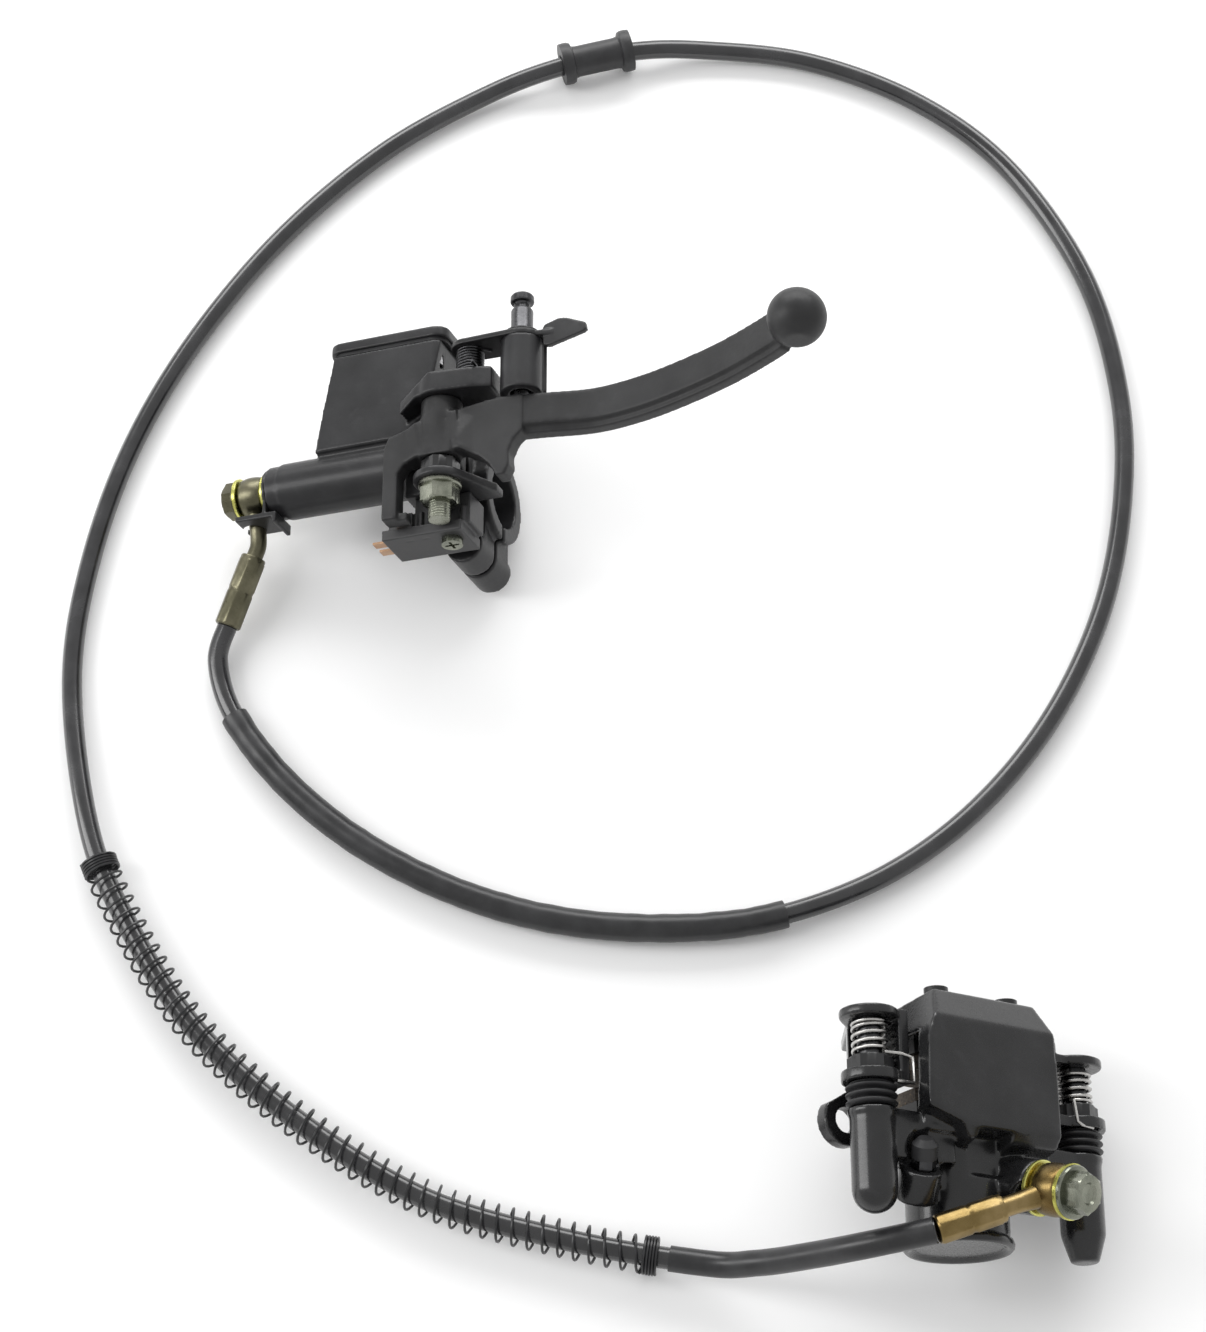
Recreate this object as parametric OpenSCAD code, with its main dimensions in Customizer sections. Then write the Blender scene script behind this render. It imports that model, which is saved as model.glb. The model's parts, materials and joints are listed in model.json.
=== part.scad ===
// Hydraulic rear brake: handlebar master cylinder with parking lock, hose and floating caliper.
// The set lies on a table, so each half has its own tilted frame.

/* [Master cylinder] */
// Diameter of the master cylinder bore
bore_d = 12.7; // [11:0.1:16]
// Outside diameter of the cylinder barrel
barrel_d = 20.6; // [18:0.2:26]
// Length of the barrel from its shoulder to the open mouth
barrel_len = 58.5; // [54:0.5:62]
// Height of the reservoir floor and of its rim above the bore axis
tank_floor = 13; // [12:0.5:16]
tank_rim = 46; // [36:1:56]
// Wall of the reservoir
tank_wall = 2.6; // [1.8:0.1:4]
// Depth of the reservoir, front to back
tank_depth = 28; // [24:1:34]
// Thickness of the reservoir cap
cap_t = 6; // [4:0.5:8]

/* [Bar clamp] */
// Diameter of the handlebar that the clamp takes
bar_d = 22.2; // [22.2, 25.4, 28.6]
// Wall of the clamp around the bar
clamp_wall = 5.6; // [4:0.2:8]
// Width of the clamp along the bar
clamp_w = 20; // [14:1:24]
// Gap between the two clamp halves
clamp_gap = 1.4; // [0.6:0.2:3]

/* [Lever] */
// Height of the lever blade
blade_h = 12; // [10:0.5:16]
// Thickness of the lever blade
blade_t = 8; // [6:0.5:11]
// Diameter of the safety ball at the tip
ball_d = 20; // [19:0.5:24]
// Diameter of the lever pivot bolt
pivot_d = 8; // [6:0.5:10]

/* [Parking lock] */
// Outside diameter of the lock barrel
lock_d = 15; // [13:0.5:18]
// Diameter of the lock pin
lock_pin_d = 8; // [6:0.5:9]
// Turns of the lock spring
lock_turns = 8; // [5:1:9]

/* [Hose] */
// Outside diameter of the brake hose
hose_d = 7.4; // [6.5:0.1:8.4]
// Outside diameter of the loose sleeve
sleeve_d = 9.8; // [9.2:0.2:12]
// Outside diameter of the wire guard
guard_d = 13.2; // [12:0.2:15]
// Outside diameter of the crimped ferrules
crimp_d = 9.8; // [9:0.2:12]

/* [Caliper] */
// Diameter of the caliper piston
piston_d = 25.4; // [22:0.1:27]
// Outside diameter of the cylinder housing
housing_d = 33.4; // [32:0.2:38]
// Slot between the two linings, which takes the disc
disc_slot = 6; // [5:0.5:8]
// Thickness of a new lining
lining_t = 5; // [3:0.5:6]
// Thickness of the steel backing plate
plate_t = 4; // [3:0.5:5]
// Distance of each slide pin from the piston axis
pin_span = 41; // [38:0.5:46]
// Diameter of the slide pins
slide_d = 8; // [7:0.5:10]

/* [Hidden] */
$fn = 48;
run_gap = 0.05;       // radial clearance of a running fit
gap = 0.3;            // air between two bodies
mc_at = [-127, 112, 21.7];
mc_tilt = 20;         // the right end of the barrel is propped up by the clamp
cal_at = [101, -165.5, 32];
cal_roll = 30;        // the caliper leans on its right edge
bar_b = -3;           // handlebar axis in the master cylinder's frame
bar_c = -26;
tank_c = 3.2;         // the reservoir's middle lies this far behind the bore
piv_a = 66;           // lever pivot in the master cylinder's frame
piv_c = 14;
post_a = 76.5;        // parking arm pivot
lock_a = 96;          // lock barrel
lock_top = 39;
inner_face = 52 - disc_slot/2;   // rotor side of the inner lining
outer_face = 52 + disc_slot/2;
piston_face = inner_face - lining_t - plate_t;
pin_w = 10;
up_eye_at = mc_at - 12.7*[cos(mc_tilt), 0, sin(mc_tilt)];   // middle of the upper banjo eye
low_eye = [130.5, -150.9, 50];       // lower banjo eye on the table
low_axis = [0.66, -0.27, 0.7];
up_crimp_a = [-139, 89.5, 14];
up_crimp_b = [-148, 65, 8];
low_crimp_a = [112.8, -157.6, 54];
low_crimp_b = [91.6, -164.9, 55];

// Middle line of the hose as it lies, in the order it is laid
route = [
  [-148, 65, 8], [-151, 52, 5.5], [-144, 31, 5], [-124, 5, 5], [-96, -18, 5], [-61, -36, 5],
  [-24, -46, 5], [16, -48, 5], [50, -43, 5], [86, -28, 4], [118, -4, 4], [146, 30, 4],
  [167, 72, 4], [178, 117, 4], [180, 163, 4], [170, 214, 4], [144, 262, 4], [110, 293, 4],
  [68, 312, 4], [26, 317, 5], [-2, 314, 8.2], [-29, 307, 8.2], [-58, 296, 5], [-98, 270, 4],
  [-136, 231, 4], [-167, 185, 4], [-188, 139, 4], [-200, 91, 4], [-203, 45, 4], [-193, -10, 7],
  [-178, -45, 7], [-152, -84, 7], [-116, -116, 7], [-72, -143, 7], [-24, -157, 7], [20, -165, 9],
  [37, -167, 18], [53, -168, 33], [70, -168, 48], [91.6, -164.9, 55]
];

black = [0.12, 0.12, 0.13];
gloss = [0.05, 0.05, 0.06];
rubber = [0.09, 0.09, 0.1];
zinc = [0.62, 0.62, 0.56];
olive = [0.45, 0.44, 0.36];
brass = [0.66, 0.55, 0.33];
yellow = [0.78, 0.78, 0.45];
steel = [0.6, 0.61, 0.63];

// Frames of the two halves
module on_master() { translate(mc_at) rotate([0, -mc_tilt, 0]) children(); }
module on_caliper() { translate(cal_at) rotate([0, cal_roll, 0]) children(); }
// Children drawn along +Z are laid from p towards q
module from_to(p, q) {
  d = q - p;
  translate(p) rotate([0, acos(d[2]/norm(d)), atan2(d[1], d[0])]) children();
}
module along_x(x0, x1, r) { translate([x0, 0, 0]) rotate([0, 90, 0]) cylinder(r = r, h = x1 - x0); }
module along_y(y0, y1, r) { translate([0, y0, 0]) rotate([-90, 0, 0]) cylinder(r = r, h = y1 - y0); }
module slab(y0, y1) { translate([0, y1, 0]) rotate([90, 0, 0]) linear_extrude(y1 - y0) children(); }
module hex(af, h) { cylinder(d = af/cos(30), h = h, $fn = 6); }
module ring(ro, ri, h) { difference() { cylinder(r = ro, h = h); translate([0, 0, -1]) cylinder(r = ri, h = h + 2); } }
module torus(r, w) { rotate_extrude() translate([r, 0]) circle(r = w, $fn = 16); }
// Rounded rectangle from corner to corner
module round_rect(x0, y0, x1, y1, r) {
  translate([x0 + r, y0]) square([x1 - x0 - 2*r, y1 - y0]);
  translate([x0, y0 + r]) square([x1 - x0, y1 - y0 - 2*r]);
  for (x = [x0 + r, x1 - r], y = [y0 + r, y1 - r]) translate([x, y]) circle(r = r);
}

// Smooth path through points, and the tube swept along it
function mix4(a, b, c, d, t) = 0.5*((2*b) + (c - a)*t + (2*a - 5*b + 4*c - d)*t*t + (3*b - a - 3*c + d)*t*t*t);
function smooth(p, n) = [for (i = [0 : len(p) - 2], k = [0 : n - 1])
  mix4(p[max(i - 1, 0)], p[i], p[i + 1], p[min(i + 2, len(p) - 1)], k/n), p[len(p) - 1]];
function unit(v) = v/norm(v);
module tube(p, r, sides, i0, i1) {
  n = i1 - i0 + 1;
  rings = [for (i = [i0 : i1])
    let (t = unit(p[min(i + 1, len(p) - 1)] - p[max(i - 1, 0)]),
      side = unit(cross(t, [0, 0, 1])), up = cross(side, t))
    for (k = [0 : sides - 1]) p[i] + r*(cos(360*k/sides)*side + sin(360*k/sides)*up)];
  faces = [for (i = [0 : n - 2], k = [0 : sides - 1])
    let (a = i*sides + k, b = i*sides + (k + 1)%sides) each [[a, b, b + sides], [a, b + sides, a + sides]]];
  polyhedron(points = rings, faces = concat(faces,
    [[for (k = [sides - 1 : -1 : 0]) k]], [[for (k = [0 : sides - 1]) (n - 1)*sides + k]]));
}

// Master cylinder, in its own frame: X along the bore, Y up the reservoir, Z to the front
module tank_front(inset, y0, y1) {
  polygon([[15 + inset + (y0 - 8)*0.17, y0], [57 - inset + (y0 - 8)*0.16, y0],
    [57 - inset + (y1 - 8)*0.16, y1], [15 + inset + (y1 - 8)*0.17, y1]]);
}
module tank_block(inset, y0, y1) {
  intersection() {
    translate([0, 0, -40]) linear_extrude(80) tank_front(inset, y0, y1);
    slab(y0 - 1, y1 + 1) round_rect(13 + inset, inset - tank_depth/2 - tank_c, 64.5 - inset,
      tank_depth/2 - tank_c - inset, 5 - inset/2);
  }
}
module clamp_half(side) {
  translate([0, bar_b, bar_c]) {
    difference() {
      union() {
        along_x(54, 54 + clamp_w, bar_d/2 + clamp_wall);
        for (s = [-1, 1]) {
          translate([54 + clamp_w/2, s*bolt_b, -15]) cylinder(r = 7, h = 28);
          translate([54 + clamp_w/2 - 7, s > 0 ? 0 : -bolt_b, -12]) cube([14, bolt_b, 22]);
        }
      }
      along_x(53, 55 + clamp_w, bar_d/2);
      translate([53, -60, side > 0 ? -60 : -clamp_gap/2]) cube([clamp_w + 2, 120, 60 + clamp_gap/2]);
    }
  }
}
// Upper ear: its plan, cut by the slanted line that its front shows
module upper_ear() intersection() {
  slab(12, 26) union() {
    translate([piv_a, piv_c]) circle(r = 9.5);
    polygon([[51.5, 3], [51.5, 18], [58, 21], [66, 23.5], [80, 22], [87, 20], [87, 9], [60, 4]]);
  }
  linear_extrude(60) polygon([[51.5, 13.2], [51.5, 18], [64, 25], [87, 25], [87, 17], [58.3, 17]]);
}
// Lower ear runs back to the clamp
module lower_ear() slab(-15.3, -12.3) union() {
  translate([piv_a, piv_c]) circle(r = 9.5);
  polygon([[57.5, 18], [66, 23.5], [74, 19], [83, 3], [83, -3], [57.5, -3]]);
}
// Clamp bolts stand in round bosses
bolt_b = bar_d/2 + clamp_wall + 5.8;

module master_body() color(black) on_master() {
  difference() {
    union() {
      along_x(-5.1, 0, barrel_d/2 - 0.5);
      along_x(0, barrel_len, barrel_d/2);
      tank_block(0, 8, tank_rim);
      translate([16, 0, -tank_depth/2 - tank_c + 2]) cube([40, 8.1, tank_depth - 4]);
      // neck that carries the ears
      translate([50, -15.3, -7]) cube([10, 38.3, 16]);
      upper_ear();
      lower_ear();
      // lock post
      translate([post_a, 0, piv_c]) along_y(22, 25.6, 6.6);
      translate([post_a, 0, piv_c]) along_y(22, 37.8, 3.4);
      // fixed half of the clamp and its neck
      difference() {
        clamp_half(1);
        along_x(50, 80, bore_d/2 + 0.6);
      }
      translate([54, -13, -20]) cube([clamp_w - 6, 20, 16]);
    }
    difference() {
      tank_block(tank_wall, tank_floor, tank_rim + 1);
      for (p = cap_screw_at) translate([p[0], 20, p[1]]) along_y(0, 40, 3.8);
    }
    along_x(4, barrel_len + 1, bore_d/2);
    along_x(barrel_len - 3.2, 80, bore_d/2 + 1.3);
    along_x(-8, 5, 5);
    translate([28, 0, 0]) along_y(0, tank_floor + 1, 1.6);
    translate([36, 0, 0]) along_y(0, tank_floor + 1, 0.6);
    translate([piv_a, 0, piv_c]) along_y(-17, 20, pivot_d/2);
    translate([piv_a, 0, piv_c]) along_y(19.5, 24, 7);
    translate([0, bar_b, bar_c]) along_x(53, 55 + clamp_w, bar_d/2);
    for (s = [-1, 1]) translate([54 + clamp_w/2, bar_b + s*bolt_b, 0])
      translate([0, 0, bar_c - 1]) cylinder(r = 2.5, h = 8.5);
    for (p = cap_screw_at) translate([p[0], tank_rim - 9, p[1]]) along_y(0, 10, 2);
  }
}
cap_screw_at = [for (x = [24.5, 60], z = [-8.6, 8.6]) [x, z - tank_c]];
module cap_block(grow, y0, y1) {
  slab(y0, y1) round_rect(20 - grow, -tank_depth/2 - tank_c - grow,
    64.5 + grow, tank_depth/2 - tank_c + grow, 5);
}
module reservoir_cap() color(black) on_master() difference() {
  union() {
    cap_block(0.8, tank_rim + 1.2, tank_rim + cap_t - 1);
    cap_block(-0.6, tank_rim + cap_t - 1, tank_rim + cap_t);
  }
  for (p = cap_screw_at) translate([p[0], tank_rim, p[1]]) {
    along_y(0, 12, 2.2);
    along_y(cap_t - 2.4, 12, 3.8);
  }
}
module reservoir_diaphragm() color(rubber) on_master() difference() {
  union() {
    cap_block(-0.3, tank_rim, tank_rim + 1.2);
    slab(tank_rim - 7, tank_rim + 1) round_rect(29, -10 - tank_c, 55, 10 - tank_c, 3);
  }
  slab(tank_rim - 6, tank_rim + 2) round_rect(30.2, -8.8 - tank_c, 53.8, 8.8 - tank_c, 2);
  for (p = cap_screw_at) translate([p[0], tank_rim - 1, p[1]]) along_y(0, 4, 2.3);
}
module cap_screws() color(steel) on_master() for (p = cap_screw_at) translate([p[0], tank_rim, p[1]])
  difference() {
    union() {
      along_y(-8, cap_t - 2, 1.95);
      along_y(cap_t - 2.4, cap_t - 0.4, 3.6);
    }
    translate([-3, cap_t - 1.2, -0.5]) cube([6, 1.4, 1]);
  }
module bar_clamp() color(black) on_master() difference() {
  clamp_half(-1);
  for (s = [-1, 1]) translate([54 + clamp_w/2, bar_b + s*bolt_b, bar_c]) {
    translate([0, 0, -30]) cylinder(r = 3.2, h = 40);
    translate([0, 0, -30]) cylinder(r = 5.3, h = 22);
  }
}
module clamp_bolts() color(steel) on_master()
  for (s = [-1, 1]) translate([54 + clamp_w/2, bar_b + s*bolt_b, bar_c]) {
    translate([0, 0, -12]) difference() {
      cylinder(r = 5, h = 4);
      translate([0, 0, -1]) hex(5, 3.4);
    }
    translate([0, 0, -9]) cylinder(r = 3.1, h = 8);
    translate([0, 0, -1.5]) cylinder(r = 2.5, h = 8);
  }

// Lever middle line in plan, and half its thickness at each point
lever_line = smooth([[62, 14.5], [69, 14.6], [78, 15], [90, 14.5], [104, 12.5], [122, 9.5], [140, 12],
  [158, 18], [176, 26], [193, 36], [200, 41]], 4);
function lever_side(s) = [for (i = [0 : len(lever_line) - 1])
  let (p = lever_line[i], d = unit(lever_line[min(i + 1, len(lever_line) - 1)] - lever_line[max(i - 1, 0)]),
    h = blade_t/2*(1 - 0.25*i/len(lever_line)))
  p + s*h*[-d[1], d[0]]];
function turned(p) = [for (i = [len(p) - 1 : -1 : 0]) p[i]];
module blade_outline() polygon(concat(lever_side(1), turned(lever_side(-1))));
// Front of the casting round the pivot, with its left and right legs
module lever_front() polygon([[45.7, -28], [45.7, 0], [47.5, 4.5], [58, 7.6], [70, 10.6], [84, 12.6], [98, 13],
  [98, -1.6], [95, -4.5], [93, -9], [93.2, -14], [91.6, -17.6], [88.4, -17.6], [86, -13], [82, -9], [75.5, -5.4],
  [61, -5.2], [54, -7], [51.3, -10.5], [51.3, -28]]);
module brake_lever() color(black) on_master() difference() {
  union() {
    slab(1, 1 + blade_h) intersection() {
      blade_outline();
      translate([88, -10]) square([140, 80]);
    }
    // lower lip, set back to leave the bevel
    slab(-1.6, 1.01) intersection() {
      blade_outline();
      translate([0, -2]) blade_outline();
      translate([88, -10]) square([140, 80]);
    }
    translate([0, 0, 11.4]) linear_extrude(7) lever_front();
    // hub
    translate([piv_a, 0, piv_c]) along_y(-1.6, 16.7, 7.4);
    slab(-1.6, 10) translate([piv_a - 4, piv_c]) square([12, 6]);
    // foot of the left leg
    slab(-28, -25) translate([45.7, 11.4]) square([9, 5]);
    // nose that pushes the piston
    slab(-4, 5) {
      translate([piv_a, 0]) circle(r = 3.4);
      polygon([[piv_a - 3.3, 0], [piv_a + 3, 0], [piv_a + 6, 12], [piv_a - 3.3, 12]]);
    }
    translate([205, 7, 44]) intersection() {
      sphere(d = ball_d);
      translate([-20, -ball_d*0.44, -20]) cube([40, ball_d*0.88, 40]);
    }
  }
  translate([piv_a, 0, piv_c]) along_y(-8, 20, pivot_d/2 + 1.2);
}
module pivot_bush() color(brass) on_master() translate([piv_a, 0, piv_c]) difference() {
  along_y(-1.6, 16.7, pivot_d/2 + 1.2);
  along_y(-5, 20, pivot_d/2 + run_gap);
}
module pivot_bolt() color(zinc) on_master() translate([piv_a, 0, piv_c]) {
  along_y(-29.3, -12.3, pivot_d/2 - 0.3);
  along_y(-12.3, 19.5, pivot_d/2);
  difference() {
    along_y(19.5, 22.6, 6.5);
    translate([-8, 21.2, -0.8]) cube([16, 3, 1.6]);
  }
}
module pivot_nut() color(zinc) on_master() translate([piv_a, 0, piv_c]) rotate([-90, 0, 0])
  translate([0, 0, -23]) difference() {
    union() {
      hex(12, 7.7);
      translate([0, 0, 6.2]) cylinder(r = 7.6, h = 1.5);
    }
    translate([0, 0, -1]) cylinder(r = pivot_d/2 - 0.3, h = 12);
  }
module pivot_lock_nut() color(black) on_master() translate([piv_a, 0, piv_c]) rotate([-90, 0, 0])
  translate([0, 0, -12.3]) difference() {
    hex(12, 6);
    translate([0, 0, -1]) cylinder(r = pivot_d/2, h = 12);
  }

// Hydraulic parts in the bore
module master_piston() color(steel) on_master() difference() {
  union() {
    along_x(31, 35, bore_d/2 - run_gap);
    along_x(35, 38, 4);
    along_x(38, 41, bore_d/2 - run_gap);
    along_x(41, 52, 4.2);
    along_x(52, 55, bore_d/2 - run_gap);
    along_x(55, 62.2, 3.6);
  }
  along_x(30, 33, 3);
}
module primary_cup() color(rubber) on_master() difference() {
  along_x(35, 38, bore_d/2 - 0.02);
  along_x(30, 40, 4);
}
module secondary_cup() color(rubber) on_master() difference() {
  along_x(48.5, 52, bore_d/2 - 0.02);
  along_x(40, 54, 4.2);
}
module piston_return_spring() color(steel) on_master()
  for (i = [0 : 9]) translate([5 + i*2.7, 0, 0]) rotate([0, 90, 0]) torus(bore_d/2 - 0.95, 0.55);
module piston_circlip() color(steel) on_master() difference() {
  along_x(barrel_len - 3.2, barrel_len - 2.2, bore_d/2 + 1.3);
  along_x(50, 62, 4.6);
  translate([50, -14, -1.5]) cube([14, 12, 3]);
}

// Brake light switch under the barrel
module switch_body() color(rubber) on_master() difference() {
  union() {
    translate([53, -27, -7]) cube([21, 11.7, 13]);
    translate([42, -31, -9]) cube([30, 4, 18]);
    for (x = [55, 59, 71]) translate([x, -27, 6]) cube([1.6, 6, 1.4]);
    translate([44, -27, 0]) cube([9, 6, 8]);
  }
  translate([48, -24, -2]) cylinder(r = 1.5 + run_gap, h = 20);
  translate([66, 0, 2]) along_y(-32, -18, 1.9);
  for (x = [50, 56]) translate([x, -32, 5]) cube([3, 1.2, 1]);
}
module switch_plunger() color(brass) on_master() translate([48, -24, 3]) cylinder(r = 1.5, h = 8.1);
module switch_screw() color(zinc) on_master() translate([66, 0, 2]) difference() {
  union() {
    along_y(-31, -18.2, 1.85);
    along_y(-33.4, -31, 3.8);
  }
  for (a = [0, 90]) rotate([0, a, 0]) translate([-2.6, -34, -0.5]) cube([5.2, 1.6, 1]);
}
module switch_terminals() color(brass) on_master() for (z = [-5, 1])
  translate([36.5, -29.4, z]) cube([5.5, 0.8, 3.4]);

// Parking lock above the lever
module parking_arm() color(black) on_master() difference() {
  union() {
    slab(35.6, 37.6) {
      translate([post_a, piv_c]) circle(r = 7);
      polygon([[post_a - 1, piv_c - 6.9], [post_a - 1, piv_c + 6.9], [lock_a, piv_c + 7.5], [lock_a, piv_c - 7.5]]);
      translate([lock_a, piv_c]) circle(r = 7.5);
      polygon([[lock_a, piv_c - 5], [lock_a + 14, piv_c - 3.6], [lock_a + 14, piv_c + 2], [lock_a, piv_c + 5]]);
    }
    translate([0, 0, piv_c]) linear_extrude(2.2) polygon([[lock_a + 9, 31.6], [lock_a + 8.2, 38], [lock_a + 9.4, 40],
      [lock_a + 14.5, 41.6], [lock_a + 17.5, 41.2], [lock_a + 24.6, 38], [lock_a + 25, 35.4], [lock_a + 24, 34.6],
      [lock_a + 11.5, 31.4]]);
  }
  translate([post_a, 0, piv_c]) along_y(30, 40, 3.4 + run_gap);
  translate([lock_a, 0, piv_c]) along_y(30, 42, lock_pin_d/2 + 1.4);
}
module parking_barrel() color(black) on_master() translate([lock_a, 0, piv_c]) difference() {
  union() {
    along_y(14.6, 35.6, lock_d/2);
    along_y(37.6, lock_top, lock_d/2 - 1);
    along_y(35, 38, lock_pin_d/2 + 1.4);
    rotate([0, 35, 0]) translate([lock_d/2 - 2, 15.5, -2.4]) cube([3.2, 20.1, 4.8]);
  }
  along_y(10, 45, lock_pin_d/2 + run_gap);
  along_y(17, 32, lock_pin_d/2 + 2.2);
}
module parking_pin() color(steel) on_master() translate([lock_a, 0, piv_c]) {
  along_y(15, 17, lock_pin_d/2 - 1);
  along_y(17, 49, lock_pin_d/2);
  along_y(49, 51, 2.6);
  along_y(51, 54.4, lock_pin_d/2 + 0.2);
}
module parking_pin_spring() color(steel) on_master() translate([lock_a, 0, piv_c])
  for (i = [0 : 6]) translate([0, 18 + i*2.1, 0]) rotate([90, 0, 0]) torus(lock_pin_d/2 + 1.1, 0.45);
module parking_spring() color(steel) on_master() translate([post_a, 0, piv_c])
  for (i = [0 : lock_turns - 1]) translate([0, 26.3 + i*1.18, 0]) rotate([90, 0, 0]) torus(4.5, 0.62);

// Upper fitting
module upper_banjo_bolt() color(olive) on_master() {
  translate([-24.2, 0, 0]) rotate([0, 90, 0]) hex(12, 5);
  along_x(-19.4, -19, 7.2);
  along_x(-19.1, 3, 5);
}
module upper_washers() color(yellow) on_master() for (x = [-19, -7.9]) difference() {
  along_x(x, x + 1.4, 7.8);
  along_x(x - 1, x + 3, 5);
}
module upper_banjo() color(olive) {
  on_master() difference() {
    along_x(-17.6, -7.9, 7.6);
    along_x(-18, -7, 5);
  }
  difference() {
    from_to(up_eye_at, up_crimp_a) cylinder(r = 3.3, h = norm(up_crimp_a - up_eye_at));
    on_master() along_x(-18, -7, 5);
  }
}
module hose_bracket() color(black) difference() {
  on_master() difference() {
    union() {
      along_x(-6.5, -5.1, 9);
      translate([-6.5, -12.4, -6]) cube([1.4, 10, 13]);
      translate([-17, -12.4, -6]) cube([16, 2, 13]);
      translate([-2.4, -14.4, -6]) cube([1.4, 4, 13]);
    }
    along_x(-8, -4, 5);
  }
  from_to(up_eye_at, up_crimp_a) cylinder(r = 4, h = 40);
}
module upper_crimp() color(olive) from_to(up_crimp_a, up_crimp_b) {
  l = norm(up_crimp_b - up_crimp_a);
  cylinder(r = crimp_d/2 - 0.9, h = l);
  translate([0, 0, 1]) cylinder(r = crimp_d/2, h = l/2 - 1.6);
  translate([0, 0, l/2 + 0.6]) cylinder(r = crimp_d/2, h = l/2 - 0.6);
}

// Hose and what lies on it
path = smooth(route, 2);
module brake_hose() color(rubber) tube(path, hose_d/2, 8, 0, len(path) - 1);
module sleeve_on(i0, i1, r) difference() {
  tube(path, r, 10, i0, i1);
  tube(path, hose_d/2 + 0.35, 8, max(i0 - 1, 0), min(i1 + 1, len(path) - 1));
}
module hose_sleeve() color(rubber) sleeve_on(4, 16, sleeve_d/2);
module hose_end_sleeve() color(rubber) sleeve_on(71, 77, hose_d/2 + 0.8);
module hose_grommet() color(rubber) difference() {
  from_to(route[20], route[21]) {
    l = norm(route[21] - route[20]);
    cylinder(r = 6, h = l);
    cylinder(r = 8, h = 4);
    translate([0, 0, l - 4]) cylinder(r = 8, h = 4);
  }
  tube(path, hose_d/2 + 0.05, 8, 37, 45);
}
module hose_spring_guard() color(steel) sleeve_on(59, 69, guard_d/2 - 0.01);
module guard_collars() color(steel) for (e = [[59, 58], [69, 70]]) difference() {
  from_to(path[e[0]], path[e[1]]) translate([0, 0, 0.5]) cylinder(r = guard_d/2 + 0.3, h = 11);
  tube(path, hose_d/2 + 0.35, 8, min(e[0], e[1]) - 1, max(e[0], e[1]) + 1);
}

// Lower fitting
module on_low_bolt() { from_to(low_eye, low_eye + low_axis) children(); }
module lower_banjo() color(brass) {
  difference() {
    union() {
      on_low_bolt() translate([0, 0, -5.5]) cylinder(r = 8.6, h = 11);
      from_to(low_eye, low_crimp_a) cylinder(r = 3.3, h = norm(low_crimp_a - low_eye));
    }
    on_low_bolt() translate([0, 0, -12]) cylinder(r = 5, h = 24);
    on_low_bolt() for (z = [-7.5, 5.5]) translate([0, 0, z]) cylinder(r = 9.2, h = 2);
  }
}
module lower_washers() color(yellow) on_low_bolt() for (z = [-6.9, 5.5]) translate([0, 0, z]) ring(9, 5, 1.4);
module lower_banjo_bolt() color(zinc) on_low_bolt() {
  translate([0, 0, -16]) cylinder(r = 5, h = 23);
  translate([0, 0, 6.9]) cylinder(r = 8.6, h = 1.6);
  translate([0, 0, 8.5]) hex(12, 5);
}
module lower_crimp() color(brass) from_to(low_crimp_a, low_crimp_b) {
  l = norm(low_crimp_b - low_crimp_a);
  cylinder(r = crimp_d/2 - 0.9, h = l);
  translate([0, 0, 1]) cylinder(r = crimp_d/2, h = l/2 - 1.6);
  translate([0, 0, l/2 + 0.6]) cylinder(r = crimp_d/2, h = l/2 - 0.6);
}

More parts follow.
